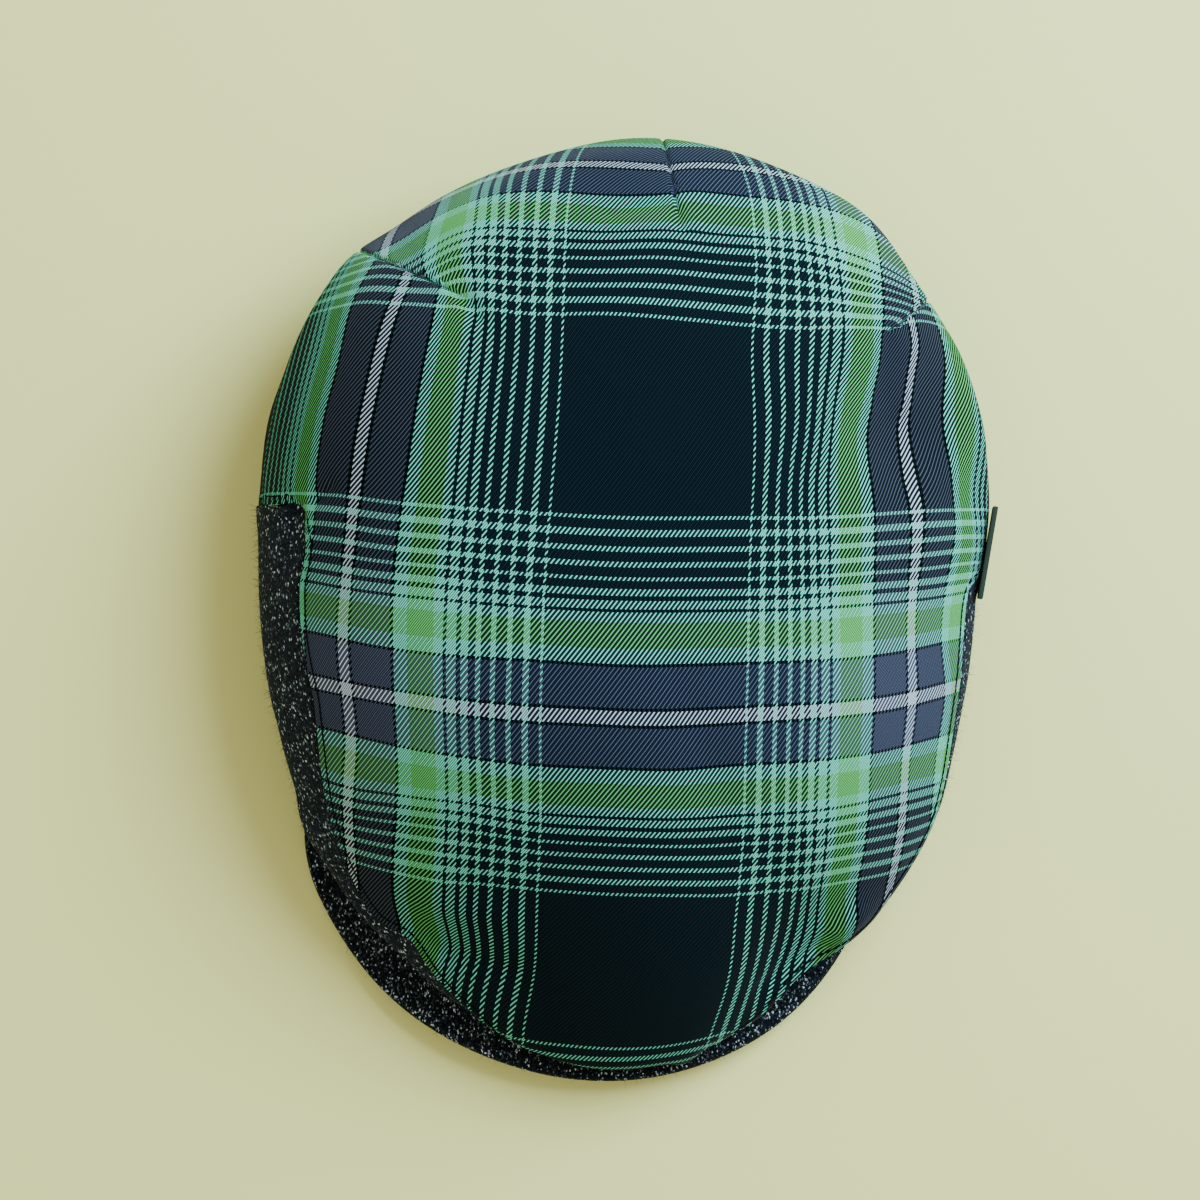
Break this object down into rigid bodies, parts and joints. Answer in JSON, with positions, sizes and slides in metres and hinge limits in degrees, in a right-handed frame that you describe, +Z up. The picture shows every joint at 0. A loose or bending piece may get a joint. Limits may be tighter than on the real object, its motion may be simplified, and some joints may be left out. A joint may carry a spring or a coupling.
{
  "type": "flat cap",
  "caption": "Flat cap resting on its hem: a soft tartan crown over a stiff tweed peak, with a tweed panel at each side and a plain woven tab.",
  "frame": {"origin": "the middle of the cap's footprint, at the level of its hem", "axes": "+Z up; the peak points along -Y and the back of the crown along +Y; +X is to the right of the cap as it is seen from above with its peak towards the viewer"},
  "size_m": [0.2198, 0.28, 0.088],
  "materials": {
    "tartan": "smooth twill weave",
    "side_tweed": "brushed wool tweed with pale flecks",
    "peak_tweed": "coarse wool tweed with pale flecks",
    "ribbon": "woven ribbon"
  },
  "bodies": {
    "root": {"crown": "tartan", "side_panel_left": "side_tweed", "side_panel_right": "side_tweed", "peak": "peak_tweed", "side_tab": "ribbon"}
  },
  "joints": []
}
